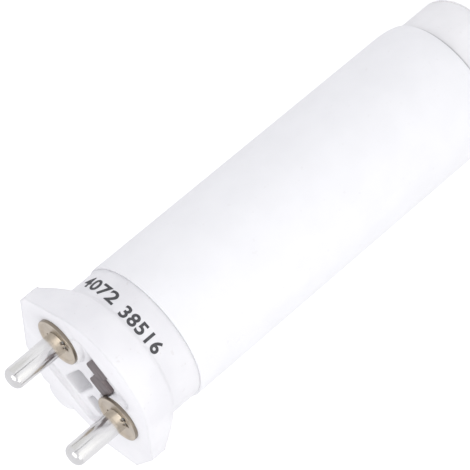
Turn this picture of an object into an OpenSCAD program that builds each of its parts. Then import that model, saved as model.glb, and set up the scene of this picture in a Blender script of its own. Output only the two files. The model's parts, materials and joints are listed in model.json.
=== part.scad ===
// Ceramic hot air heating element with two round contact pins.
// It stands on its outlet end. The axis is Z, the pins point up and lie on the X axis.

/* [Sleeve] */
// Outer diameter of the insulating sleeve
sleeve_d = 32; // [30:0.5:36]
// Wall of the sleeve
sleeve_wall = 1; // [0.8:0.1:1.4]
// Length of the sleeve
sleeve_l = 85; // [70:1:110]
// Length over which the outlet end of the sleeve curves in
sleeve_mouth_l = 4.5; // [2:0.5:8]
// Wall left at the outlet edge of the sleeve
sleeve_lip = 0.4; // [0.3:0.05:0.6]

/* [Core] */
// Length of the core that stands out of the sleeve
core_stickout = 11; // [8:0.5:16]
// Radius round the outlet end of the core
core_edge_r = 0.9; // [0.5:0.1:1.4]
// Number of channels in the outer ring
outer_count = 12; // [8:2:12]
// Number of channels in the inner ring
inner_count = 6; // [4:2:6]
// Wall between the outer channels and the outside of the core
edge_wall = 1.6; // [1.4:0.1:1.9]
// Wall between the two rings of channels
ring_wall = 1.1; // [0.9:0.1:1.3]
// Wall between the inner channels and the hole for the tie rod
centre_wall = 2.45; // [2.3:0.05:2.6]
// Depth of the grooves for the wire between two channels
groove_depth = 1.6; // [1.4:0.1:2.5]
// Gap between the core and the sleeve
core_gap = 0.4; // [0.2:0.05:0.6]

/* [Base] */
// Step from the sleeve in to the neck of the base
neck_step = 0.4; // [0.2:0.1:1]
// Length of the neck
neck_l = 7.3; // [6:0.1:9]
// Height of the slope from the neck out to the back of the flange
back_slope_l = 4; // [3:0.1:5]
// Reach of the slope past the neck
back_slope_reach = 4.4; // [3.6:0.1:4.8]
// Thickness of the rim of the flange
flange_t = 3.7; // [3:0.1:4.5]
// Reach of the two ends of the flange past the neck
end_reach = 4.7; // [4.3:0.1:5]
// Reach of the round near side of the flange past the neck
near_reach = 0.6; // [0.5:0.1:1]
// Reach of the slanted near sides of the two ends past the neck
near_side_reach = 0.4; // [0.2:0.1:0.4]
// Turn of the slanted near sides away from the pin line
near_turn = 36; // [34:1:38]
// Reach of the slanted far side beside the first pin past the neck
far_slant_reach = 3.7; // [3.4:0.1:4]
// Reach of the far corner beside the first pin past the neck
far_corner_reach = 6.2; // [5.8:0.1:6.6]
// Reach of the far side of the flange past the neck
far_reach = 4.6; // [4.2:0.1:5]
// Turn of the far side of the flange away from the pin line
far_turn = 19; // [14:1:24]
// Reach of the far corner beside the second pin past the neck
far_cut_reach = 6; // [5.6:0.1:6.4]
// Radius of the key lobe on the far side of the flange
key_r = 3.8; // [3.4:0.1:4.2]
// Sideways place of the key lobe
key_x = -0.9; // [-1.5:0.1:0.5]
// Reach of the key lobe past the neck
key_reach = 9.5; // [8.6:0.1:10]
// Height of the slanted front edge of the key lobe
key_nose_h = 0.5; // [0.3:0.1:0.8]
// Wall of the spigot round the plenum
spigot_wall = 1.1; // [0.9:0.1:1.3]
// Thickness of the front plate over the plenum
plate_t = 8; // [7:0.5:10]
// Length of the spigot inside the sleeve
spigot_l = 11; // [8:0.5:14]
// Gap between the spigot of the base and the sleeve
spigot_gap = 0.3; // [0.2:0.05:0.5]

/* [Air ports] */
// Depth of the trough in the front face
trough_depth = 1.2; // [0.8:0.1:1.6]
// Width of the trough along the pin line
trough_w = 17; // [15:0.5:19]
// Near edge of the trough, measured from the axis
trough_near = 8.8; // [8.6:0.1:9.4]
// Far edge of the trough, measured from the axis
trough_far = 15.4; // [14.8:0.1:15.8]
// Width of the land round each front washer
land_w = 0.5; // [0.4:0.1:0.8]
// Corner radius of the trough
trough_r = 2; // [1.5:0.1:3]
// Width of an air port
port_w = 4.6; // [4.4:0.1:4.8]
// Near edge of the main air port, measured from the axis
port_near = 4.6; // [4:0.1:5]
// Far edge of the main air port, measured from the axis
port_far = 14.4; // [14:0.1:14.5]
// Width of the side air port
side_port_w = 4.4; // [4.3:0.1:4.5]
// Near edge of the side air port, measured from the axis
side_port_near = 7.8; // [7.6:0.1:7.9]
// Far edge of the side air port, measured from the axis
side_port_far = 12.2; // [12.1:0.1:12.3]
// Thickness of the rib between the air ports
rib_t = 1.4; // [1.2:0.1:1.5]
// Corner radius of the air ports
port_r = 0.9; // [0.5:0.1:1.2]

/* [Contacts] */
// Distance between the contact pins
pin_pitch = 19; // [18.6:0.1:19.4]
// Diameter of a contact pin
pin_d = 4.8; // [4.6:0.1:5]
// Length of a contact pin above its washer
pin_l = 12.3; // [10:0.1:16]
// Radius of the rounded end of a contact pin
pin_nose_r = 1.5; // [0.6:0.1:1.8]
// Diameter of the threaded shank under the pin
shank_d = 4; // [3.6:0.1:4.2]
// Gap round the shank in the ceramic
shank_gap = 0.2; // [0.15:0.05:0.3]
// Length of the shank past its nut
shank_past_nut = 1.2; // [0.6:0.1:2]
// Diameter of the front washer
front_washer_d = 10.6; // [10:0.1:11]
// Thickness of the front washer
front_washer_t = 0.7; // [0.5:0.1:1]
// Depth of the dish in the front washer
dish_depth = 0.25; // [0.15:0.05:0.35]
// Width of the flat rim round the dish
dish_rim = 0.7; // [0.5:0.1:1]
// Turn of the first slot across the bore of the front washer
washer_slot_angle = 40; // [0:5:90]
// Turn from the first slot to the second
washer_slot_turn = 34; // [30:1:60]
// Width of the slots across the bore of the front washer
washer_slot_w = 0.9; // [0.8:0.1:1.2]
// Reach of the slots from the pin centre
washer_slot_r = 3.1; // [2.8:0.1:3.4]
// Diameter of the inner washer
inner_washer_d = 7.6; // [6.8:0.1:7.8]
// Thickness of the inner washer
inner_washer_t = 0.8; // [0.6:0.1:1.2]
// Width across the flats of the contact nuts
pin_nut_af = 7; // [6.5:0.1:7.2]
// Height of the contact nuts
pin_nut_h = 3.2; // [2.5:0.1:3.6]

/* [Leads] */
// Diameter of the ring of a lead lug
lug_ring_d = 7.2; // [6.8:0.1:7.6]
// Thickness of a lead lug
lug_t = 0.8; // [0.6:0.1:1]
// Width of the tongue between the ring and the barrel of a lug
lug_tongue_w = 2; // [1.4:0.1:2.2]
// Length of the barrel that grips the lead
lug_barrel_l = 4.2; // [3:0.1:5]
// Outer diameter of the barrel that grips the lead
lug_barrel_d = 2.4; // [2:0.1:2.6]
// Diameter of the lead wire
lead_d = 1.2; // [0.8:0.1:1.4]

/* [Coil] */
// Gap between the coiled wire and its channel
coil_gap = 0.4; // [0.3:0.05:0.6]
// Wall of the tube that stands in for the coiled wire
coil_wall = 0.6; // [0.5:0.05:0.7]
// Diameter of the straight wire between two channels
link_d = 0.8; // [0.6:0.1:1]
// Height of the links above the outlet end
link_lift = 0.3; // [0.2:0.1:0.5]
// Length of the tails that meet the leads
tail_l = 3; // [2:0.5:5]

/* [Tie rod] */
// Diameter of the tie rod through the core
rod_d = 2.5; // [2.3:0.1:2.6]
// Gap round the tie rod
rod_gap = 0.2; // [0.15:0.05:0.3]
// Diameter of the head of the tie rod
rod_head_d = 4.8; // [4.4:0.1:5]
// Height of the head of the tie rod
rod_head_h = 1.6; // [1.4:0.1:1.8]
// Depth of the counterbore for the head of the tie rod
counterbore_depth = 2.2; // [2:0.1:3]
// Width of the slot across the head
rod_slot_w = 0.8; // [0.6:0.1:1]
// Depth of the slot across the head
rod_slot_depth = 0.7; // [0.5:0.1:0.8]
// Width across the flats of the tie rod nut
rod_nut_af = 5; // [4.8:0.1:5.2]
// Height of the tie rod nut
rod_nut_h = 2; // [1.8:0.1:2.4]
// Diameter of the tie rod washer
rod_washer_d = 6; // [5.6:0.1:6.2]
// Thickness of the tie rod washer
rod_washer_t = 0.5; // [0.4:0.1:0.8]
// Length of thread past the tie rod nut
rod_past_nut = 0.8; // [0.4:0.1:1]

/* [Clip] */
// Thickness of the retaining clip
clip_t = 1; // [0.8:0.1:1]
// Width of each half of the clip's head
clip_w = 5; // [4.6:0.1:5.2]
// Gap between the clip and the near edge of the trough
clip_edge_gap = 0.5; // [0.3:0.1:0.7]
// Length of the half of the head beside the first pin
clip_near_l = 4.6; // [4.2:0.1:4.8]
// Length of the half of the head beside the second pin
clip_far_l = 4.7; // [4.4:0.1:4.8]
// Length over which the two halves lie side by side
clip_lap = 1.6; // [1.4:0.1:1.8]
// Sideways place of the middle of that lap
clip_lap_x = -0.7; // [-0.9:0.1:-0.5]
// Corner radius of the two halves
clip_r = 0.8; // [0.5:0.1:0.8]
// Step across the trough between the two halves
clip_step = 3.9; // [3.7:0.1:4]
// Width of the leg
clip_leg_w = 2.6; // [2.2:0.1:2.8]
// Gap round the leg in its slot
clip_gap = 0.3; // [0.2:0.05:0.4]
// Length of the foot bent under the front plate
clip_foot_l = 3.4; // [3:0.1:4]

/* [Hidden] */
$fn = 96;
cut = 1;
fine_gap = 0.1;
block_count = 4;
flange_span = 60;
sleeve_r = sleeve_d / 2;
sleeve_bore_r = sleeve_r - sleeve_wall;
core_r = sleeve_bore_r - core_gap;
base_z = core_stickout + sleeve_l;
core_l = base_z - spigot_l;
block_l = core_l / block_count;
spigot_r = sleeve_bore_r - spigot_gap;
neck_r = sleeve_r - neck_step;
plenum_r = spigot_r - spigot_wall;
slope_z = base_z + neck_l;
flange_z = slope_z + back_slope_l;
face_z = flange_z + flange_t;
plate_z = face_z - plate_t;
trough_z = face_z - trough_depth;
key_y = neck_r + key_reach - key_r;
side_port_x = -port_w / 2 - rib_t - side_port_w / 2;
pin_x = pin_pitch / 2;
pin_r = pin_d / 2;
shank_r = shank_d / 2;
front_washer_r = front_washer_d / 2;
washer_bore_r = shank_r + fine_gap;
pin_root_z = face_z + front_washer_t - dish_depth;
pin_tip_z = face_z + front_washer_t + pin_l;
inner_washer_z = plate_z - inner_washer_t;
lug_z = inner_washer_z - lug_t;
pin_nut_z = lug_z - pin_nut_h;
shank_end_z = pin_nut_z - shank_past_nut;
lug_barrel_r = lug_barrel_d / 2;
lug_barrel_z = lug_z + lug_t - lug_barrel_l;
lead_r = lead_d / 2;
rod_r = rod_d / 2;
rod_hole_r = rod_r + rod_gap;
channel_r = (core_r - rod_hole_r - centre_wall - ring_wall - edge_wall) / 4;
inner_ring_r = rod_hole_r + centre_wall + channel_r;
outer_ring_r = inner_ring_r + 2 * channel_r + ring_wall;
coil_r = channel_r - coil_gap;
coil_bore_r = coil_r - coil_wall;
link_r = link_d / 2;
link_low_z = link_lift + link_r;
link_high_z = core_l + link_r;
coil_top_z = core_l + link_d;
tail_top_z = coil_top_z + tail_l;
tail_r = (coil_r + coil_bore_r) / 2;
outer_start = -45;
inner_start = -120;
rod_head_r = rod_head_d / 2;
counterbore_r = rod_head_r + rod_gap;
rod_head_z = counterbore_depth - rod_head_h;
rod_nut_z = core_l + rod_washer_t;
rod_top_z = rod_nut_z + rod_nut_h + rod_past_nut;
clip_y = clip_edge_gap - trough_near;
clip_lap_near_x = clip_lap_x + clip_lap / 2;
clip_lap_far_x = clip_lap_x - clip_lap / 2;
clip_far_x = clip_lap_near_x - clip_far_l;
clip_leg_x = (clip_far_x + clip_lap_far_x) / 2;
clip_leg_y = clip_y + clip_step + clip_w / 2;

// Place of coil channel i in a ring
function ring_place(r, count, start, i) =
    [r * cos(start + 360 * i / count), r * sin(start + 360 * i / count)];
function outer_place(i) = ring_place(outer_ring_r, outer_count, outer_start, i);
function inner_place(i) = ring_place(inner_ring_r, inner_count, inner_start, i);

// All places along the heating wire, from the first lead to the second
function coil_places() = [
    for (i = [0 : outer_count - 1]) outer_place(i),
    for (i = [0 : inner_count - 1]) inner_place(i),
];

// Place where the end of the heating wire stands up beside the pin on this side
function tail_place(side) =
    side > 0 ? outer_place(0) + [0, tail_r] : inner_place(inner_count - 1) + [tail_r, 0];

// Round bar between two points at one height
module level_bar(from, to, z, r) {
    run = to - from;
    translate([from.x, from.y, z]) rotate([0, 90, atan2(run.y, run.x)])
        cylinder(h = norm(run), r = r, $fn = 32);
}

// Rectangle with round corners, given by its low and high corners
module round_rect(low, high, r) {
    translate(low + [r, 0]) square([high.x - low.x - 2 * r, high.y - low.y]);
    translate(low + [0, r]) square([high.x - low.x, high.y - low.y - 2 * r]);
    for (x = [low.x + r, high.x - r], y = [low.y + r, high.y - r])
        translate([x, y]) circle(r = r, $fn = 48);
}

// Hole through the front plate with the outline of its children
module plate_cut(bottom = plate_z - cut) {
    translate([0, 0, bottom]) linear_extrude(height = face_z + cut - bottom) children();
}

// Half of the plane, up to a straight side at the given turn and reach past the neck
module inside_of(turn, reach) {
    rotate(turn) translate([neck_r + reach - flange_span, -flange_span]) square([flange_span, 2 * flange_span]);
}

// Outline of the flange: round near side, two ends, slanted and skewed far sides
module flange_outline() {
    circle(r = neck_r + near_reach);
    intersection() {
        translate([-flange_span, -neck_r / 2]) square(2 * flange_span);
        inside_of(0, end_reach);
        inside_of(30, far_slant_reach);
        inside_of(60, far_corner_reach);
        inside_of(90 + far_turn, far_reach);
        inside_of(135, far_cut_reach);
        inside_of(180, end_reach);
        inside_of(180 + near_turn, near_side_reach);
        inside_of(360 - near_turn, near_side_reach);
    }
}

// Flange with a flat rim and a slope from its back down to the neck
module flange() {
    intersection() {
        translate([0, 0, slope_z]) linear_extrude(height = face_z - slope_z) flange_outline();
        rotate_extrude() polygon([
            [0, slope_z], [neck_r, slope_z], [neck_r + back_slope_reach, flange_z],
            [flange_span, flange_z], [flange_span, face_z], [0, face_z],
        ]);
    }
}

// Rounded key lobe that gives the element only one way into its socket
module key_lobe() {
    nose_z = face_z - key_nose_h;
    translate([key_x, key_y, 0]) {
        translate([0, 0, flange_z]) cylinder(h = nose_z - flange_z, r = key_r);
        translate([0, 0, nose_z]) cylinder(h = key_nose_h, r1 = key_r, r2 = key_r - key_nose_h);
    }
}

// Outline of the trough, which leaves a round land for each washer and makes room for the clip
module trough_outline() {
    difference() {
        round_rect([-trough_w / 2, -trough_near], [trough_w / 2, trough_far], trough_r);
        for (side = [-1, 1]) translate([side * pin_x, 0]) circle(r = front_washer_r + land_w);
    }
    translate([clip_far_x - clip_gap, clip_y + clip_step - clip_gap])
        square([clip_far_l + 2 * clip_gap, clip_w + 2 * clip_gap]);
}

module main_port_outline() {
    round_rect([-port_w / 2, port_near], [port_w / 2, port_far], port_r);
}

module side_port_outline() {
    round_rect([side_port_x - side_port_w / 2, side_port_near],
               [side_port_x + side_port_w / 2, side_port_far], port_r);
}

module clip_slot_outline() {
    translate([clip_leg_x, clip_leg_y])
        square([clip_leg_w + 2 * clip_gap, clip_t + 2 * clip_gap], center = true);
}

// Ceramic base: spigot, neck, keyed flange and front plate in one piece
module base() {
    color("whitesmoke") difference() {
        union() {
            flange();
            key_lobe();
            translate([0, 0, base_z]) cylinder(h = neck_l + cut, r = neck_r);
            translate([0, 0, core_l]) cylinder(h = spigot_l + cut, r = spigot_r);
        }
        translate([0, 0, core_l - cut]) cylinder(h = plate_z - core_l + cut, r = plenum_r);
        for (side = [-1, 1])
            translate([side * pin_x, 0, plate_z - cut])
                cylinder(h = plate_t + 2 * cut, r = shank_r + shank_gap);
        plate_cut(trough_z) trough_outline();
        plate_cut() main_port_outline();
        plate_cut() side_port_outline();
        plate_cut() clip_slot_outline();
    }
}

// Thin insulating tube, drawn in at its outlet end
module sleeve() {
    color("white") translate([0, 0, core_stickout]) rotate_extrude() difference() {
        translate([sleeve_bore_r, 0]) square([sleeve_wall, sleeve_l]);
        sleeve_mouth_cut();
    }
}

// Space outside the arc that draws the sleeve in from its full radius to its lip
module sleeve_mouth_cut() {
    draw_in = sleeve_wall - sleeve_lip;
    arc_r = (sleeve_mouth_l * sleeve_mouth_l + draw_in * draw_in) / (2 * draw_in);
    difference() {
        translate([sleeve_r - draw_in, -cut]) square([draw_in + cut, sleeve_mouth_l + cut]);
        translate([sleeve_r - arc_r, sleeve_mouth_l]) circle(r = arc_r, $fn = 720);
    }
}

// Multi-bore ceramic block of the core; the first one carries the outlet end
module core_block(number) {
    low = (number - 1) * block_l;
    color("ivory") difference() {
        translate([0, 0, low]) core_blank(number == 1 ? core_edge_r : 0);
        translate([0, 0, low - cut]) {
            for (place = coil_places())
                translate([place.x, place.y, 0]) cylinder(h = block_l + 2 * cut, r = channel_r, $fn = 48);
            cylinder(h = block_l + 2 * cut, r = rod_hole_r, $fn = 48);
        }
        if (number == 1) {
            translate([0, 0, -cut]) cylinder(h = counterbore_depth + cut, r = counterbore_r, $fn = 48);
            link_grooves();
        }
    }
}

module core_blank(edge_r) {
    rotate_extrude() {
        translate([0, edge_r]) square([core_r, block_l - edge_r]);
        if (edge_r > 0) {
            square([core_r - edge_r, edge_r]);
            translate([core_r - edge_r, edge_r]) circle(r = edge_r);
        }
    }
}

// Grooves in the outlet end for the wire between two channels
module link_grooves() {
    places = coil_places();
    for (i = [0 : 2 : len(places) - 2]) {
        run = places[i + 1] - places[i];
        translate([places[i].x, places[i].y, groove_depth / 2])
            rotate([0, 0, atan2(run.y, run.x)])
                translate([0, -link_d, -groove_depth])
                    cube([norm(run), 2 * link_d, 1.5 * groove_depth]);
    }
}

// One coiled wire that runs down and up through all channels
module heating_coil() {
    places = coil_places();
    last = len(places) - 1;
    color("dimgray") {
        difference() {
            union() {
                for (place = places)
                    translate([place.x, place.y, link_lift])
                        cylinder(h = coil_top_z - link_lift, r = coil_r, $fn = 32);
                for (i = [0 : last - 1]) {
                    z = i % 2 == 0 ? link_low_z : link_high_z;
                    level_bar(places[i], places[i + 1], z, link_r);
                }
            }
            for (place = places)
                translate([place.x, place.y, 0])
                    cylinder(h = coil_top_z + cut, r = coil_bore_r, $fn = 32);
        }
        for (side = [-1, 1])
            translate([tail_place(side).x, tail_place(side).y, link_high_z])
                cylinder(h = tail_top_z - link_high_z, r = link_r, $fn = 32);
    }
}

// Turned contact pin with its shank through the front plate
module contact_pin(side) {
    color("gainsboro") translate([side * pin_x, 0, 0]) {
        rotate_extrude() {
            translate([0, pin_root_z])
                square([pin_r, pin_tip_z - pin_root_z - pin_nose_r]);
            translate([0, pin_tip_z - pin_nose_r]) square([pin_r - pin_nose_r, pin_nose_r]);
            intersection() {
                translate([pin_r - pin_nose_r, pin_tip_z - pin_nose_r]) circle(r = pin_nose_r);
                translate([0, pin_root_z]) square([pin_r, pin_tip_z - pin_root_z]);
            }
        }
        translate([0, 0, shank_end_z]) cylinder(h = pin_root_z + cut - shank_end_z, r = shank_r);
    }
}

// Dished washer between the pin and the face, slotted at its bore
module front_washer(side) {
    color("tan") translate([side * pin_x, 0, face_z]) difference() {
        rotate_extrude() polygon([
            [washer_bore_r, 0],
            [front_washer_r, 0],
            [front_washer_r, front_washer_t],
            [front_washer_r - dish_rim, front_washer_t],
            [front_washer_r - dish_rim - dish_depth, front_washer_t - dish_depth],
            [washer_bore_r, front_washer_t - dish_depth],
        ]);
        for (angle = [0, washer_slot_turn])
            rotate([0, 0, washer_slot_angle + angle])
                cube([2 * washer_slot_r, washer_slot_w, 4 * front_washer_t], center = true);
    }
}

module inner_washer(side) {
    color("silver") translate([side * pin_x, 0, inner_washer_z]) difference() {
        cylinder(h = inner_washer_t, d = inner_washer_d);
        translate([0, 0, -cut]) cylinder(h = inner_washer_t + 2 * cut, r = washer_bore_r);
    }
}

// Ring lug with a tongue to its lead and a hanging barrel that grips the lead
module lead_lug(side) {
    run = tail_place(side) - [side * pin_x, 0];
    color("silver") translate([side * pin_x, 0, 0]) rotate([0, 0, atan2(run.y, run.x)])
        difference() {
            union() {
                translate([0, 0, lug_z]) cylinder(h = lug_t, d = lug_ring_d);
                translate([0, -lug_tongue_w / 2, lug_z]) cube([norm(run), lug_tongue_w, lug_t]);
                translate([norm(run), 0, lug_barrel_z]) cylinder(h = lug_barrel_l, r = lug_barrel_r, $fn = 48);
            }
            translate([0, 0, lug_z - cut]) cylinder(h = lug_t + 2 * cut, r = washer_bore_r);
        }
}

module pin_nut(side) {
    color("silver") translate([side * pin_x, 0, pin_nut_z]) difference() {
        rotate([0, 0, 30]) cylinder(h = pin_nut_h, d = pin_nut_af / cos(30), $fn = 6);
        translate([0, 0, -cut]) cylinder(h = pin_nut_h + 2 * cut, r = shank_r);
    }
}

// Straight lead from the barrel of a lug down to the end of the heating wire
module lead_wire(side) {
    color("lightgray") translate([tail_place(side).x, tail_place(side).y, tail_top_z])
        cylinder(h = lug_barrel_z - tail_top_z, r = lead_r, $fn = 32);
}

// Rod with a slotted head that holds the core blocks together
module tie_rod() {
    color("darkgray") difference() {
        union() {
            translate([0, 0, rod_head_z]) cylinder(h = rod_head_h, r = rod_head_r);
            translate([0, 0, rod_head_z]) cylinder(h = rod_top_z - rod_head_z, r = rod_r);
        }
        translate([-rod_head_d, -rod_slot_w / 2, rod_head_z - cut])
            cube([2 * rod_head_d, rod_slot_w, rod_slot_depth + cut]);
    }
}

module tie_rod_washer() {
    color("silver") translate([0, 0, core_l]) difference() {
        cylinder(h = rod_washer_t, d = rod_washer_d);
        translate([0, 0, -cut]) cylinder(h = rod_washer_t + 2 * cut, r = rod_r + fine_gap);
    }
}

module tie_rod_nut() {
    color("silver") translate([0, 0, rod_nut_z]) difference() {
        cylinder(h = rod_nut_h, d = rod_nut_af / cos(30), $fn = 6);
        translate([0, 0, -cut]) cylinder(h = rod_nut_h + 2 * cut, r = rod_r);
    }
}

// Stepped plate in the trough with a leg and a foot that hook under the plate
module retaining_clip() {
    foot_z = plate_z - clip_t;
    color("dimgray") {
        translate([0, 0, trough_z]) linear_extrude(height = clip_t) clip_head_outline();
        translate([clip_leg_x - clip_leg_w / 2, clip_leg_y - clip_t / 2, foot_z])
            cube([clip_leg_w, clip_t, trough_z - foot_z + clip_t / 2]);
        translate([clip_leg_x - clip_leg_w / 2, clip_leg_y + clip_t / 2 - clip_foot_l, foot_z])
            cube([clip_leg_w, clip_foot_l, clip_t]);
    }
}

// Two round-cornered halves, one a step farther across the trough, that lap in the middle
module clip_head_outline() {
    round_rect([clip_lap_far_x, clip_y], [clip_lap_far_x + clip_near_l, clip_y + clip_w], clip_r);
    round_rect([clip_far_x, clip_y + clip_step], [clip_lap_near_x, clip_y + clip_step + clip_w], clip_r);
}

base();
sleeve();
core_block(1);  // core_block_1
core_block(2);  // core_block_2
core_block(3);  // core_block_3
core_block(4);  // core_block_4
contact_pin(1);  // contact_pin_1
contact_pin(-1);  // contact_pin_2
front_washer(1);  // front_washer_1
front_washer(-1);  // front_washer_2
inner_washer(1);  // inner_washer_1
inner_washer(-1);  // inner_washer_2
lead_lug(1);  // lead_lug_1
lead_lug(-1);  // lead_lug_2
pin_nut(1);  // pin_nut_1
pin_nut(-1);  // pin_nut_2
lead_wire(1);  // lead_wire_1
lead_wire(-1);  // lead_wire_2
heating_coil();
tie_rod();
tie_rod_washer();
tie_rod_nut();
retaining_clip();
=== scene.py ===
"""Looks of a hot air heating element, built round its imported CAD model."""

import json
import logging
import math
from dataclasses import dataclass, field
from enum import Enum
from typing import ClassVar

import bpy
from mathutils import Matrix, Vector

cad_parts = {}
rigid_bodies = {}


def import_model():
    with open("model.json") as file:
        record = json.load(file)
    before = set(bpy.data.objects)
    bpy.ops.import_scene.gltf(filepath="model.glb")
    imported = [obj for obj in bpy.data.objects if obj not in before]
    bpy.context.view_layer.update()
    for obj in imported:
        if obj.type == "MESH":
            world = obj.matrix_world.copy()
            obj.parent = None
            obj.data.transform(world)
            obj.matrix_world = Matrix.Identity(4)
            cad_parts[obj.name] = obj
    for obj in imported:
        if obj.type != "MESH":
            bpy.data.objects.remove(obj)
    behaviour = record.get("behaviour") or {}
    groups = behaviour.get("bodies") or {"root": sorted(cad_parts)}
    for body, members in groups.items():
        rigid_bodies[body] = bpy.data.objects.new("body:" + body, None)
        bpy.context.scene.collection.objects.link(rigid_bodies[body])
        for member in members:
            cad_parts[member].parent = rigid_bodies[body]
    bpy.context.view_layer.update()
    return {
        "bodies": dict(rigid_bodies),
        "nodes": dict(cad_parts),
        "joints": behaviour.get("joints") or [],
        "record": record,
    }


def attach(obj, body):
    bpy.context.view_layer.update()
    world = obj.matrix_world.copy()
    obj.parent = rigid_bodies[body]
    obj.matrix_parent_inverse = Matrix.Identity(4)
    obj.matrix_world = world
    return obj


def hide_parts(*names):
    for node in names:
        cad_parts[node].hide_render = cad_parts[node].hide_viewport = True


LOG = logging.getLogger("scene")
MM = 0.001
BODY = "root"

Color = tuple[float, float, float]
Place = tuple[float, float]
Point = tuple[float, float, float]
Range = tuple[float, float]
Socket = bpy.types.NodeSocket

BLACK: Color = (0.0, 0.0, 0.0)
WHITE: Color = (1.0, 1.0, 1.0)
EVEN: Point = (1.0, 1.0, 1.0)

# Radii, places and angles of the CAD part, in mm and degrees
NECK_R = 15.6
PIN_X = 9.5
OUTER_RING_R = 11.0
INNER_RING_R = 5.9
OUTER_COUNT = 12
INNER_COUNT = 6
OUTER_START = -45.0
INNER_START = -120.0


class Slot(Enum):
    """Material slots of the record."""

    BASE = "base_ceramic"
    SLEEVE = "sleeve_ceramic"
    CORE = "core_ceramic"
    PIN = "pin_nickel"
    WASHER = "washer_brass"
    CLIP = "clip_steel"
    STEEL = "steel_small"
    WIRE = "resistance_wire"
    LEAD = "lead_nickel"


class Tree:
    """Small helper that adds nodes to a material's tree."""

    BEVEL_SAMPLES = 8

    def __init__(self, name: str) -> None:
        """Start an empty node material.

        Args:
            name: Name of the material.
        """
        self.material = bpy.data.materials.new(name)
        self.material.use_nodes = True
        self.nodes = self.material.node_tree.nodes
        self.links = self.material.node_tree.links
        self.nodes.clear()
        self.output = self.nodes.new("ShaderNodeOutputMaterial")
        self.coords = self.nodes.new("ShaderNodeTexCoord").outputs["Object"]

    def link(self, source: Socket, target: Socket) -> None:
        """Link two sockets."""
        self.links.new(source, target)

    def noise(self, scale: float, detail: float = 3.0, stretch: Point = EVEN) -> Socket:
        """Add a noise texture in object space.

        Args:
            scale: Cells per metre.
            detail: Octaves of the noise.
            stretch: Scale of the coordinates along X, Y and Z.

        Returns:
            The factor socket of the noise.
        """
        mapping = self.nodes.new("ShaderNodeMapping")
        mapping.inputs["Scale"].default_value = stretch
        self.link(self.coords, mapping.inputs["Vector"])
        noise = self.nodes.new("ShaderNodeTexNoise")
        noise.inputs["Scale"].default_value = scale
        noise.inputs["Detail"].default_value = detail
        self.link(mapping.outputs["Vector"], noise.inputs["Vector"])
        return noise.outputs["Fac"]

    def ramp(self, source: Socket, low: Color, high: Color, ends: Range = (0.35, 0.65)) -> Socket:
        """Map a factor to a run of colours.

        Args:
            source: Factor socket.
            low: Colour at the start.
            high: Colour at the end.
            ends: Factors of the first and the last colour.

        Returns:
            The colour socket.
        """
        ramp = self.nodes.new("ShaderNodeValToRGB")
        for element, place, color in zip(ramp.color_ramp.elements, ends, (low, high)):
            element.position = place
            element.color = (*color, 1.0)
        self.link(source, ramp.inputs["Fac"])
        return ramp.outputs["Color"]

    def span(self, source: Socket, to: Range, start: Range = (0.0, 1.0)) -> Socket:
        """Map a value from one range to another and clamp it there.

        Args:
            source: Value socket.
            to: Range of the result.
            start: Range of the value.

        Returns:
            The mapped socket.
        """
        span = self.nodes.new("ShaderNodeMapRange")
        span.inputs["From Min"].default_value = start[0]
        span.inputs["From Max"].default_value = start[1]
        span.inputs["To Min"].default_value = to[0]
        span.inputs["To Max"].default_value = to[1]
        self.link(source, span.inputs["Value"])
        return span.outputs["Result"]

    def mix(self, factor: Socket, first: Socket, second: Color) -> Socket:
        """Mix a colour socket towards a fixed colour.

        Args:
            factor: Share of the second colour.
            first: First colour.
            second: Second colour.

        Returns:
            The mixed colour socket.
        """
        mix = self.nodes.new("ShaderNodeMix")
        mix.data_type = "RGBA"
        self.link(factor, mix.inputs["Factor"])
        self.link(first, mix.inputs["A"])
        mix.inputs["B"].default_value = (*second, 1.0)
        return mix.outputs["Result"]

    def reckon(self, operation: str, first: Socket, second: float = 0.0) -> Socket:
        """Work a socket out from another and a constant.

        Args:
            operation: Name of the math node's operation.
            first: First value.
            second: Second value, where the operation takes one.

        Returns:
            The result socket.
        """
        node = self.nodes.new("ShaderNodeMath")
        node.operation = operation
        self.link(first, node.inputs[0])
        node.inputs[1].default_value = second
        return node.outputs["Value"]

    def split(self) -> bpy.types.NodeOutputs:
        """Split the object coordinates into X, Y and Z."""
        split = self.nodes.new("ShaderNodeSeparateXYZ")
        self.link(self.coords, split.inputs["Vector"])
        return split.outputs

    def rim(self, radius: float, width: float) -> Socket:
        """Rise from 0 to 1 over the last bit of a radius round either pin.

        Args:
            radius: Radius where it is 1, in mm.
            width: Distance over which it rises, in mm.

        Returns:
            The factor socket.
        """
        place = self.split()
        join = self.nodes.new("ShaderNodeCombineXYZ")
        side = self.reckon("ABSOLUTE", place["X"])
        self.link(self.reckon("SUBTRACT", side, PIN_X * MM), join.inputs["X"])
        self.link(place["Y"], join.inputs["Y"])
        length = self.nodes.new("ShaderNodeVectorMath")
        length.operation = "LENGTH"
        self.link(join.outputs["Vector"], length.inputs["Vector"])
        return self.span(length.outputs["Value"], (0.0, 1.0), ((radius - width) * MM, radius * MM))

    def band(self, level: float, reach: float) -> Socket:
        """Rise to 1 at a level and fall to 0 within a reach of it.

        Args:
            level: Height where it is 1, in mm.
            reach: Distance over which it falls, in mm.

        Returns:
            The factor socket.
        """
        off = self.reckon("ABSOLUTE", self.reckon("SUBTRACT", self.split()["Z"], level * MM))
        return self.span(off, (1.0, 0.0), (0.0, reach * MM))

    def soft_edge(self, radius: float) -> Socket:
        """Add a normal that looks rounded at every edge.

        Args:
            radius: Radius of the rounding in mm.

        Returns:
            The normal socket.
        """
        bevel = self.nodes.new("ShaderNodeBevel")
        bevel.samples = self.BEVEL_SAMPLES
        bevel.inputs["Radius"].default_value = radius * MM
        return bevel.outputs["Normal"]

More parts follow.
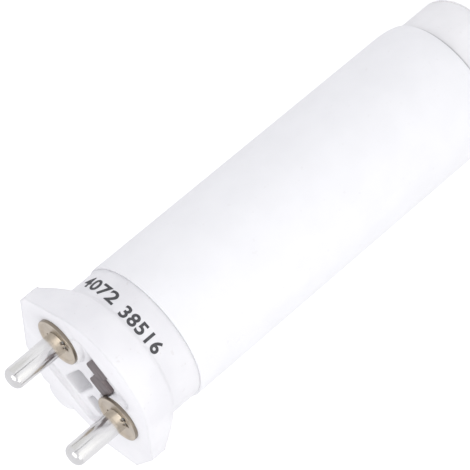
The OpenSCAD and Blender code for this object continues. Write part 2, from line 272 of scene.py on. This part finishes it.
    def bump(self, height: Socket, depth: float, strength: float, under: Socket | None = None) -> Socket:
        """Turn a height factor into a normal.

        Args:
            height: Height factor.
            depth: Depth of the relief in mm.
            strength: Share of the effect.
            under: Normal that the relief lies on, if it isn't the surface's own.

        Returns:
            The normal socket.
        """
        bump = self.nodes.new("ShaderNodeBump")
        bump.inputs["Distance"].default_value = depth * MM
        bump.inputs["Strength"].default_value = strength
        self.link(height, bump.inputs["Height"])
        if under is not None:
            self.link(under, bump.inputs["Normal"])
        return bump.outputs["Normal"]

    def shader(self, color: Socket, roughness: Socket, metallic: float = 0.0,
               normal: Socket | None = None) -> bpy.types.Node:
        """Add the surface shader and link it to the output.

        Args:
            color: Base colour socket.
            roughness: Roughness socket.
            metallic: Metallic constant.
            normal: Normal socket, if there is relief.

        Returns:
            The shader node.
        """
        shader = self.nodes.new("ShaderNodeBsdfPrincipled")
        self.link(color, shader.inputs["Base Color"])
        self.link(roughness, shader.inputs["Roughness"])
        shader.inputs["Metallic"].default_value = metallic
        if normal is not None:
            self.link(normal, shader.inputs["Normal"])
        self.link(shader.outputs["BSDF"], self.output.inputs["Surface"])
        return shader


@dataclass(frozen=True)
class Ceramic:
    """Matt fired ceramic with a fine grain and faint firing specks.

    Attributes:
        name: Name of the material.
        low: Darkest tone of its clouds.
        high: Lightest tone of its clouds.
        speck_share: How strongly the specks show.
        glow: Share of the light that goes on below the surface.
        edge: Radius in mm over which its edges look soft, or 0.
        gap_shade_z: Height in mm of a painted shadow band where it leaves another piece, standing in for
            the shade in the gap between them, or 0.
    """

    name: str
    low: Color
    high: Color
    speck_share: float = 0.16
    glow: float = 0.0
    edge: float = 0.0
    gap_shade_z: float = 0.0

    CLOUD_SCALE: ClassVar[float] = 140.0
    SPECK_SCALE: ClassVar[float] = 900.0
    SPECK_DETAIL: ClassVar[float] = 1.0
    SPECK_ENDS: ClassVar[Range] = (0.7, 0.78)
    SPECK: ClassVar[Color] = (0.55, 0.5, 0.46)
    GAP_SHADE: ClassVar[Color] = (0.32, 0.32, 0.33)
    GAP_SHADE_REACH: ClassVar[float] = 0.6
    ROUGH_SCALE: ClassVar[float] = 700.0
    ROUGHNESS: ClassVar[Range] = (0.5, 0.66)
    GRAIN_SCALE: ClassVar[float] = 2600.0
    GRAIN_DETAIL: ClassVar[float] = 4.0
    GRAIN_DEPTH: ClassVar[float] = 0.04
    GRAIN_STRENGTH: ClassVar[float] = 0.35
    SHEEN: ClassVar[float] = 0.35
    GLOW_RADIUS: ClassVar[Point] = (1.0, 0.92, 0.94)
    GLOW_DEPTH: ClassVar[float] = 1.2

    def build(self) -> bpy.types.Material:
        """Make the material."""
        tree = Tree(self.name)
        color = tree.ramp(tree.noise(self.CLOUD_SCALE), self.low, self.high)
        specks = tree.noise(self.SPECK_SCALE, self.SPECK_DETAIL)
        share = tree.ramp(specks, BLACK, (self.speck_share,) * 3, self.SPECK_ENDS)
        color = tree.mix(share, color, self.SPECK)
        # Painted shade: a dark band at the height where this piece leaves another one, standing in for the
        # shadow in the gap there.
        if self.gap_shade_z:
            color = tree.mix(tree.band(self.gap_shade_z, self.GAP_SHADE_REACH), color, self.GAP_SHADE)
        rough = tree.span(tree.noise(self.ROUGH_SCALE), self.ROUGHNESS)
        edge = tree.soft_edge(self.edge) if self.edge else None
        grain = tree.noise(self.GRAIN_SCALE, self.GRAIN_DETAIL)
        relief = tree.bump(grain, self.GRAIN_DEPTH, self.GRAIN_STRENGTH, edge)
        shader = tree.shader(color, rough, normal=relief)
        shader.inputs["Specular IOR Level"].default_value = self.SHEEN
        if self.glow:
            shader.inputs["Subsurface Weight"].default_value = self.glow
            shader.inputs["Subsurface Radius"].default_value = self.GLOW_RADIUS
            shader.inputs["Subsurface Scale"].default_value = self.GLOW_DEPTH * MM
        return tree.material


@dataclass(frozen=True)
class Metal:
    """Metal with a brushed or turned grain and faint stains.

    Attributes:
        name: Name of the material.
        low: Darkest tone of its grain.
        high: Lightest tone of its grain.
        stain: Colour of its stains.
        stain_share: How strongly the stains show.
        roughness: Least and greatest roughness.
        stretch: Scale of the grain along X, Y and Z.
        grain_depth: Depth of the grain in mm.
        rim_shade_r: Radius in mm round either pin where a painted shade at the outer rim is fully reached,
            or 0.
    """

    name: str
    low: Color
    high: Color
    stain: Color
    stain_share: float = 0.3
    roughness: Range = (0.2, 0.34)
    stretch: Point = (1.0, 1.0, 12.0)
    grain_depth: float = 0.01
    rim_shade_r: float = 0.0

    GRAIN_SCALE: ClassVar[float] = 500.0
    GRAIN_DETAIL: ClassVar[float] = 4.0
    GRAIN_STRENGTH: ClassVar[float] = 0.3
    STAIN_SCALE: ClassVar[float] = 260.0
    STAIN_ENDS: ClassVar[Range] = (0.5, 0.72)
    RIM_SHADE: ClassVar[Color] = (0.3, 0.26, 0.21)
    RIM_SHADE_WIDTH: ClassVar[float] = 0.12

    def build(self) -> bpy.types.Material:
        """Make the material."""
        tree = Tree(self.name)
        grain = tree.noise(self.GRAIN_SCALE, self.GRAIN_DETAIL, self.stretch)
        color = tree.ramp(grain, self.low, self.high)
        stains = tree.noise(self.STAIN_SCALE)
        share = tree.ramp(stains, BLACK, (self.stain_share,) * 3, self.STAIN_ENDS)
        color = tree.mix(share, color, self.stain)
        # Painted shade: the outer rim round either pin is darkened, standing in for the shadow on the
        # washer's edge and side.
        if self.rim_shade_r:
            color = tree.mix(tree.rim(self.rim_shade_r, self.RIM_SHADE_WIDTH), color, self.RIM_SHADE)
        rough = tree.span(grain, self.roughness)
        relief = tree.bump(grain, self.grain_depth, self.GRAIN_STRENGTH)
        tree.shader(color, rough, 1.0, relief)
        return tree.material


@dataclass(frozen=True)
class Ink:
    """Matt printed ink, slightly worn.

    Attributes:
        name: Name of the material.
        low: Darkest tone.
        high: Tone where it is worn.
    """

    name: str
    low: Color
    high: Color

    WEAR_SCALE: ClassVar[float] = 1900.0
    WEAR_ENDS: ClassVar[Range] = (0.3, 0.75)
    ROUGH_SCALE: ClassVar[float] = 800.0
    ROUGHNESS: ClassVar[Range] = (0.6, 0.8)

    def build(self) -> bpy.types.Material:
        """Make the material."""
        tree = Tree(self.name)
        color = tree.ramp(tree.noise(self.WEAR_SCALE), self.low, self.high, self.WEAR_ENDS)
        tree.shader(color, tree.span(tree.noise(self.ROUGH_SCALE), self.ROUGHNESS))
        return tree.material


@dataclass(frozen=True)
class Paper:
    """Plain pale floor, a little brighter to the camera than it lights the room.

    Attributes:
        name: Name of the material.
        low: Darkest tone.
        high: Lightest tone.
        lift: Light that it adds for the camera alone.
    """

    name: str
    low: Color
    high: Color
    lift: float = 0.3

    CLOUD_SCALE: ClassVar[float] = 30.0
    ROUGH_SCALE: ClassVar[float] = 60.0
    ROUGHNESS: ClassVar[Range] = (0.85, 0.95)

    def build(self) -> bpy.types.Material:
        """Make the material."""
        tree = Tree(self.name)
        color = tree.ramp(tree.noise(self.CLOUD_SCALE), self.low, self.high)
        shader = tree.shader(color, tree.span(tree.noise(self.ROUGH_SCALE), self.ROUGHNESS))
        shader.inputs["Emission Color"].default_value = (*WHITE, 1.0)
        seen = tree.nodes.new("ShaderNodeLightPath").outputs["Is Camera Ray"]
        tree.link(tree.span(seen, (0.0, self.lift)), shader.inputs["Emission Strength"])
        return tree.material


@dataclass(frozen=True)
class Glow:
    """Faintly uneven card that shines by itself.

    Attributes:
        name: Name of the material.
        bright: Strength of its light.
    """

    name: str
    bright: float

    CLOUD_SCALE: ClassVar[float] = 4.0
    SHADE: ClassVar[Color] = (0.94, 0.94, 0.94)

    def build(self) -> bpy.types.Material:
        """Make the material."""
        tree = Tree(self.name)
        emission = tree.nodes.new("ShaderNodeEmission")
        color = tree.ramp(tree.noise(self.CLOUD_SCALE), self.SHADE, WHITE)
        tree.link(color, emission.inputs["Color"])
        emission.inputs["Strength"].default_value = self.bright
        tree.link(emission.outputs["Emission"], tree.output.inputs["Surface"])
        return tree.material


class Finishes:
    """All finishes of the element, each built once."""

    def __init__(self) -> None:
        """Build every finish."""
        looks = {
            Slot.BASE: Ceramic(
                "Base ceramic", (0.8, 0.795, 0.81), (0.84, 0.835, 0.845), glow=0.12, edge=0.9),
            Slot.SLEEVE: Ceramic(
                "Sleeve ceramic", (0.83, 0.83, 0.84), (0.85, 0.85, 0.86), speck_share=0.08),
            Slot.CORE: Ceramic(
                "Core ceramic", (0.81, 0.805, 0.81), (0.85, 0.845, 0.85), speck_share=0.1, gap_shade_z=10.75),
            Slot.PIN: Metal(
                "Nickel", (0.76, 0.755, 0.745), (0.8, 0.795, 0.785), (0.66, 0.64, 0.61),
                stain_share=0.2, roughness=(0.15, 0.22), stretch=(6.0, 6.0, 0.5), grain_depth=0.002),
            Slot.WASHER: Metal(
                "Nickel brass", (0.56, 0.49, 0.4), (0.66, 0.58, 0.47), (0.36, 0.29, 0.2),
                roughness=(0.26, 0.4), stretch=EVEN, rim_shade_r=5.28),
            Slot.CLIP: Metal(
                "Tinted steel", (0.17, 0.145, 0.145), (0.26, 0.225, 0.225), (0.08, 0.07, 0.07),
                roughness=(0.38, 0.55), stretch=(1.0, 4.0, 1.0)),
            Slot.STEEL: Metal(
                "Zinc steel", (0.5, 0.5, 0.5), (0.6, 0.6, 0.6), (0.34, 0.33, 0.32), roughness=(0.3, 0.45)),
            Slot.WIRE: Metal(
                "Resistance wire", (0.2, 0.18, 0.17), (0.3, 0.28, 0.26), (0.1, 0.08, 0.07),
                roughness=(0.4, 0.6), stretch=EVEN),
            Slot.LEAD: Metal(
                "Nickel wire", (0.55, 0.54, 0.51), (0.65, 0.64, 0.61), (0.4, 0.38, 0.34)),
        }
        self.by_slot = {slot: look.build() for slot, look in looks.items()}
        self.ink = Ink("Printed ink", (0.045, 0.045, 0.05), (0.09, 0.09, 0.095)).build()
        self.paper = Paper("Floor", (0.9, 0.9, 0.9), (0.92, 0.92, 0.92)).build()

    def dress_nodes(self, frame: dict) -> None:
        """Give every CAD node the finish of its slot.
        """
        for entry in frame["record"]["subparts"]:
            dress(frame["nodes"][entry["node"]], self.by_slot[Slot(entry["material_slot"])])


def dress(piece: bpy.types.Object, material: bpy.types.Material) -> None:
    """Give a piece one material."""
    piece.data.materials.clear()
    piece.data.materials.append(material)


def deselect() -> None:
    """Leave nothing selected."""
    bpy.ops.object.select_all(action="DESELECT")


def pick(piece: bpy.types.Object) -> None:
    """Make one object the only selected and active one."""
    deselect()
    piece.select_set(True)
    bpy.context.view_layer.objects.active = piece


def settle(piece: bpy.types.Object) -> None:
    """Move an object's place, turn and scale into its mesh."""
    pick(piece)
    bpy.ops.object.transform_apply(location=True, rotation=True, scale=True)


def finish_piece(piece: bpy.types.Object, slot: Slot, material: bpy.types.Material, *nodes: str) -> None:
    """Dress a finished piece, attach it to the body and hide the CAD nodes that it stands for.

    Args:
        piece: The finished piece.
        slot: Record slot that the piece belongs to; not used.
        material: Its material.
        nodes: CAD nodes that it stands for.
    """
    dress(piece, material)
    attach(piece, BODY)
    if nodes:
        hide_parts(*nodes)
    LOG.info("%s: %d faces", piece.name, len(piece.data.polygons))


@dataclass
class SoftParts:
    """CAD pieces whose edges are only rounded.

    Attributes:
        finishes: The finishes.
        widths: Width of the rounding of each piece, in mm.
    """

    frame: dict
    finishes: Finishes
    widths: dict[str, float] = field(default_factory=lambda: {
        "base": 0.22,
        "sleeve": 0.12,
        "retaining_clip": 0.12,
        "contact_pin_1": 0.1,
        "contact_pin_2": 0.1,
        "front_washer_1": 0.08,
        "front_washer_2": 0.08,
        "pin_nut_1": 0.2,
        "pin_nut_2": 0.2,
        "lead_lug_1": 0.1,
        "lead_lug_2": 0.1,
        "tie_rod": 0.12,
        "tie_rod_nut": 0.15,
        "core_block_1": 0.12,
    })

    MERGE_GAP: ClassVar[float] = 0.001
    FLAT_ANGLE: ClassVar[float] = 0.5
    EDGE_ANGLE: ClassVar[float] = 25.0
    SMOOTH_ANGLE: ClassVar[float] = 28.0
    SEGMENTS: ClassVar[int] = 2

    def merged_copy(self, node: bpy.types.Object, name: str) -> bpy.types.Object:
        """Copy a CAD node and merge the copy into flat faces.

        Args:
            node: The CAD node.
            name: Name of the copy.

        Returns:
            The merged copy.
        """
        copy = bpy.data.objects.new(name, node.data.copy())
        bpy.context.scene.collection.objects.link(copy)
        pick(copy)
        bpy.ops.object.mode_set(mode="EDIT")
        bpy.ops.mesh.select_all(action="SELECT")
        bpy.ops.mesh.remove_doubles(threshold=self.MERGE_GAP * MM)
        bpy.ops.mesh.dissolve_limited(angle_limit=math.radians(self.FLAT_ANGLE))
        bpy.ops.mesh.select_all(action="SELECT")
        bpy.ops.mesh.normals_make_consistent(inside=False)
        bpy.ops.object.mode_set(mode="OBJECT")
        return copy

    def round_edges(self, piece: bpy.types.Object, width: float) -> None:
        """Round every sharp edge of a piece and shade it smooth.

        Args:
            piece: The piece.
            width: Width of the rounding in mm.
        """
        pick(piece)
        bevel = piece.modifiers.new("Soft edges", "BEVEL")
        bevel.width = width * MM
        bevel.segments = self.SEGMENTS
        bevel.limit_method = "ANGLE"
        bevel.angle_limit = math.radians(self.EDGE_ANGLE)
        bevel.use_clamp_overlap = True
        bevel.miter_outer = "MITER_ARC"
        bpy.ops.object.modifier_apply(modifier=bevel.name)
        bpy.ops.object.shade_smooth_by_angle(angle=math.radians(self.SMOOTH_ANGLE))

    def build(self) -> None:
        """Soften each piece and let it stand for its node."""
        entries = self.frame["record"]["subparts"]
        slots = {entry["node"]: Slot(entry["material_slot"]) for entry in entries}
        for node, width in self.widths.items():
            piece = self.merged_copy(self.frame["nodes"][node], f"soft_{node}")
            self.round_edges(piece, width)
            finish_piece(piece, slots[node], self.finishes.by_slot[slots[node]], node)


@dataclass
class Coils:
    """Coiled heating wire in the channels of the core.

    Attributes:
        finishes: The finishes.
        helix_r: Radius of a coil, to the middle of its wire, in mm.
        wire_r: Radius of the wire in mm.
        pitch: Height of one turn in mm.
        low_z: Height of the low end of the coils in mm.
        high_z: Height of the high end of the coils in mm.
        steps_per_turn: Faces along one turn.
        wire_sides: Faces round the coiled wire.
        link_sides: Faces round the straight wires.
    """

    finishes: Finishes
    helix_r: float = 1.3
    wire_r: float = 0.26
    pitch: float = 1.25
    low_z: float = 0.75
    high_z: float = 85.3
    steps_per_turn: int = 14
    wire_sides: int = 7
    link_sides: int = 12

    LINK_SMOOTH_ANGLE: ClassVar[float] = 40.0

    def ring(self, r: float, count: int, start: float) -> list[Place]:
        """Place the channels of one ring.

        Args:
            r: Radius of the ring in mm.
            count: Number of channels.
            start: Angle of the first channel in degrees.

        Returns:
            The centres of the channels in mm.
        """
        angles = [math.radians(start + 360 * i / count) for i in range(count)]
        return [(r * math.cos(angle), r * math.sin(angle)) for angle in angles]

    def helix(self, place: Place, start: float, end: float) -> bpy.types.Object:
        """Wind one coil.

        Args:
            place: Centre of the channel in mm.
            start: Angle of the low end in radians.
            end: Angle of the high end in radians.

        Returns:
            The coil as a mesh object.
        """
        length = self.high_z - self.low_z
        turns = math.floor(length / self.pitch) + ((end - start) / math.tau) % 1.0
        deselect()
        bpy.ops.mesh.primitive_circle_add(
            vertices=self.wire_sides, radius=self.wire_r * MM,
            rotation=(math.pi / 2, 0, 0), location=(self.helix_r * MM, 0, 0))
        coil = bpy.context.object
        settle(coil)
        screw = coil.modifiers.new("Wind", "SCREW")
        screw.angle = turns * math.tau
        screw.screw_offset = length * MM
        screw.steps = screw.render_steps = round(turns * self.steps_per_turn)
        screw.use_merge_vertices = False
        screw.use_normal_calculate = True
        bpy.ops.object.modifier_apply(modifier=screw.name)
        coil.rotation_euler = (0, 0, start)
        coil.location = (place[0] * MM, place[1] * MM, self.low_z * MM)
        settle(coil)
        bpy.ops.object.shade_smooth()
        return coil

    def link(self, first: Place, second: Place, z: float) -> bpy.types.Object:
        """Lay the straight wire between two coils.

        Args:
            first: Centre of the first channel in mm.
            second: Centre of the second channel in mm.
            z: Height of the wire in mm.

        Returns:
            The wire as a mesh object.
        """
        a, b = Vector((*first, z)), Vector((*second, z))
        run = (b - a).normalized()
        a, b = a + run * self.helix_r, b - run * self.helix_r
        deselect()
        bpy.ops.mesh.primitive_cylinder_add(
            vertices=self.link_sides, radius=self.wire_r * MM, depth=(b - a).length * MM)
        wire = bpy.context.object
        wire.rotation_euler = run.to_track_quat("Z", "Y").to_euler()
        wire.location = (a + b) / 2 * MM
        settle(wire)
        bpy.ops.object.shade_smooth_by_angle(angle=math.radians(self.LINK_SMOOTH_ANGLE))
        return wire

    def join(self, name: str, parts: list[bpy.types.Object]) -> bpy.types.Object:
        """Join parts into one named piece.

        Args:
            name: Name of the piece.
            parts: Its parts.

        Returns:
            The joined piece.
        """
        pick(parts[0])
        for part in parts:
            part.select_set(True)
        bpy.ops.object.join()
        parts[0].name = name
        parts[0].data.name = name
        return parts[0]

    def build(self) -> None:
        """Wind all coils and lay the wires between them."""
        places = self.ring(OUTER_RING_R, OUTER_COUNT, OUTER_START)
        places += self.ring(INNER_RING_R, INNER_COUNT, INNER_START)
        last = len(places) - 1
        coils, wires = [], []
        for i, place in enumerate(places):
            goes_up = i % 2 == 0
            before, after = places[max(i - 1, 0)], places[min(i + 1, last)]
            low, high = (after, before) if goes_up else (before, after)
            angles = [math.atan2(end[1] - place[1], end[0] - place[0]) for end in (low, high)]
            coils.append(self.helix(place, *angles))
            if i < last:
                wires.append(self.link(place, after, self.low_z if goes_up else self.high_z))
        groups = {
            "coils_outer": coils[:OUTER_COUNT],
            "coils_inner": coils[OUTER_COUNT:],
            "coil_links": wires,
        }
        for name, parts in groups.items():
            piece = self.join(name, parts)
            finish_piece(piece, Slot.WIRE, self.finishes.by_slot[Slot.WIRE], "heating_coil")


@dataclass(frozen=True)
class Group:
    """One group of printed numbers.

    Attributes:
        text: The numbers.
        start_arc: Where it starts along the neck, from the near side towards +X, in mm.
        end_arc: Where it ends, in mm.
        start_z: Height of its foot line at the start, in mm.
        end_z: Height of its foot line at the end, in mm.
    """

    text: str
    start_arc: float
    end_arc: float
    start_z: float
    end_z: float


@dataclass
class Print:
    """Plain numbers printed round the neck.

    Attributes:
        finishes: The finishes.
        groups: The groups of numbers.
        height: Height of a number in mm.
        boldness: Growth of the strokes in mm.
        gap: Height of the ink above the neck in mm.
    """

    finishes: Finishes
    groups: tuple[Group, ...] = (
        Group("4072", 21.3, 10.0, 101.6, 102.6),
        Group("38516", 7.8, -3.1, 103.1, 103.1),
    )
    height: float = 3.0
    boldness: float = 0.11
    gap: float = 0.02

    TYPE_SIZE: ClassVar[float] = 4.0
    SPACING: ClassVar[float] = 1.1
    CURVE_STEPS: ClassVar[int] = 5
    CUTS: ClassVar[int] = 2
    NEAR_SIDE: ClassVar[float] = -math.pi / 2

    def line(self, group: Group) -> bpy.types.Object:
        """Make one group of numbers and bend it round the neck.

        Args:
            group: The group.

        Returns:
            The bent numbers as a mesh object.
        """
        deselect()
        bpy.ops.object.text_add()
        piece = bpy.context.object
        piece.data.body = group.text
        piece.data.size = self.TYPE_SIZE * MM
        piece.data.offset = self.boldness * MM
        piece.data.space_character = self.SPACING
        piece.data.resolution_u = self.CURVE_STEPS
        bpy.ops.object.convert(target="MESH")
        piece = bpy.context.object
        bpy.ops.object.mode_set(mode="EDIT")
        bpy.ops.mesh.select_all(action="SELECT")
        bpy.ops.mesh.subdivide(number_cuts=self.CUTS)
        bpy.ops.object.mode_set(mode="OBJECT")
        self.bend(piece.data, group)
        return piece

    def bend(self, mesh: bpy.types.Mesh, group: Group) -> None:
        """Move flat numbers onto the neck.

        Args:
            mesh: Mesh of the flat numbers.
            group: Where they go.
        """
        xs = [vertex.co.x for vertex in mesh.vertices]
        ys = [vertex.co.y for vertex in mesh.vertices]
        left, width = min(xs), max(xs) - min(xs)
        foot, rise = min(ys), max(ys) - min(ys)
        r = NECK_R + self.gap
        for vertex in mesh.vertices:
            along = (vertex.co.x - left) / width
            up = (vertex.co.y - foot) / rise
            arc = group.start_arc + (group.end_arc - group.start_arc) * along
            angle = self.NEAR_SIDE + arc / r
            z = group.start_z + (group.end_z - group.start_z) * along - self.height * up
            vertex.co = (r * math.cos(angle) * MM, r * math.sin(angle) * MM, z * MM)

    def build(self) -> None:
        """Print each group."""
        for i, group in enumerate(self.groups, start=1):
            piece = self.line(group)
            piece.name = f"print_{i}"
            finish_piece(piece, Slot.BASE, self.finishes.ink)


@dataclass(frozen=True)
class Card:
    """Upright card round the element that only shows in reflections.

    Attributes:
        name: Its name.
        turn: Its turn from the near side towards +X, in degrees.
        distance: Its distance from the axis in metres.
        width: Its width in metres.
        height: Its height in metres.
        bright: Strength of its light.
    """

    name: str
    turn: float
    distance: float
    width: float
    height: float
    bright: float


@dataclass(frozen=True)
class Lamp:
    """Soft round light that points at the element.

    Attributes:
        name: Its name.
        place: Where it hangs, in metres.
        size: Its width in metres.
        power: Its power in watts.
        color: Its colour.
    """

    name: str
    place: Point
    size: float
    power: float
    color: Color


@dataclass
class Studio:
    """Floor, cards, lights, world and camera.

    Attributes:
        finishes: The finishes.
        camera_place: Place of the camera in metres.
        camera_turn: Turn of the camera in degrees.
        lens: Focal length in mm.
        cards: The cards.
        lamps: The lights.
    """

    finishes: Finishes
    camera_place: Point = (0.045267, -0.480179, 0.269281)
    camera_turn: Point = (-56.9316, 45.0832, -150.2591)
    lens: float = 199.149
    cards: tuple[Card, ...] = (
        Card("card_dark", 24.0, 0.26, 0.02, 0.5, 0.05),
        Card("card_grey", 75.0, 0.3, 0.42, 0.2, 0.86),
        Card("card_white", -34.0, 0.3, 0.3, 0.2, 1.3),
    )
    lamps: tuple[Lamp, ...] = (
        Lamp("Key", (-0.95, -0.85, 0.5), 0.5, 3.3, (1.0, 0.99, 0.97)),
        Lamp("Top", (0.1, -0.5, 1.3), 1.0, 4.2, WHITE),
    )

    FLOOR_SIZE: ClassVar[float] = 12.0
    AIM: ClassVar[Point] = (0.0, 0.0, 0.07)
    ROOM: ClassVar[Color] = (0.96, 0.96, 1.0)
    ROOM_LIGHT: ClassVar[float] = 0.9
    SENSOR: ClassVar[float] = 36.0
    CLIP: ClassVar[Range] = (0.01, 50.0)

    def floor(self) -> None:
        """Lay the floor."""
        deselect()
        bpy.ops.mesh.primitive_plane_add(size=self.FLOOR_SIZE)
        floor = bpy.context.object
        floor.name = "floor"
        dress(floor, self.finishes.paper)

    def card(self, card: Card) -> None:
        """Stand one card.

        Args:
            card: Where it stands and how it looks.
        """
        deselect()
        bpy.ops.mesh.primitive_plane_add(size=1.0)
        piece = bpy.context.object
        piece.name = card.name
        angle = math.radians(card.turn)
        x, y = card.distance * math.sin(angle), -card.distance * math.cos(angle)
        piece.scale = (card.width, card.height, 1.0)
        piece.location = (x, y, card.height / 2)
        piece.rotation_euler = (math.pi / 2, 0.0, angle)
        piece.visible_camera = False
        piece.visible_diffuse = False
        piece.visible_shadow = False
        piece.visible_transmission = False
        dress(piece, Glow(card.name, card.bright).build())

    def lamp(self, lamp: Lamp) -> None:
        """Hang one light.

        Args:
            lamp: Where it hangs and how it shines.
        """
        data = bpy.data.lights.new(lamp.name, "AREA")
        data.shape = "DISK"
        data.size = lamp.size
        data.energy = lamp.power
        data.color = lamp.color
        light = bpy.data.objects.new(lamp.name, data)
        bpy.context.scene.collection.objects.link(light)
        light.location = lamp.place
        aim = Vector(self.AIM) - Vector(lamp.place)
        light.rotation_euler = aim.to_track_quat("-Z", "Y").to_euler()

    def world(self) -> None:
        """Light the room evenly, with plain white behind it."""
        world = bpy.data.worlds.new("Room")
        bpy.context.scene.world = world
        world.use_nodes = True
        tree = world.node_tree
        room = tree.nodes["Background"]
        room.inputs["Color"].default_value = (*self.ROOM, 1.0)
        room.inputs["Strength"].default_value = self.ROOM_LIGHT
        seen = tree.nodes.new("ShaderNodeBackground")
        seen.inputs["Color"].default_value = (*WHITE, 1.0)
        seen.inputs["Strength"].default_value = 1.0
        mix = tree.nodes.new("ShaderNodeMixShader")
        rays = tree.nodes.new("ShaderNodeLightPath")
        tree.links.new(rays.outputs["Is Camera Ray"], mix.inputs[0])
        tree.links.new(room.outputs["Background"], mix.inputs[1])
        tree.links.new(seen.outputs["Background"], mix.inputs[2])
        tree.links.new(mix.outputs["Shader"], tree.nodes["World Output"].inputs["Surface"])

    def camera(self) -> None:
        """Set the camera at the photo's viewing angle."""
        data = bpy.data.cameras.new("Camera")
        data.sensor_width = self.SENSOR
        data.lens = self.lens
        data.clip_start, data.clip_end = self.CLIP
        camera = bpy.data.objects.new("Camera", data)
        bpy.context.scene.collection.objects.link(camera)
        camera.location = self.camera_place
        camera.rotation_euler = [math.radians(angle) for angle in self.camera_turn]
        bpy.context.scene.camera = camera

    def build(self) -> None:
        """Set up the whole studio."""
        self.floor()
        for card in self.cards:
            self.card(card)
        self.world()
        self.camera()
        for lamp in self.lamps:
            self.lamp(lamp)
        bpy.context.scene.view_settings.view_transform = "Standard"


def main() -> None:
    """Build the looks in order."""
    logging.basicConfig(level=logging.INFO, format="%(message)s")
    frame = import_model()
    finishes = Finishes()
    finishes.dress_nodes(frame)
    SoftParts(frame, finishes).build()
    Coils(finishes).build()
    Print(finishes).build()
    Studio(finishes).build()


if __name__ == "__main__":
    main()
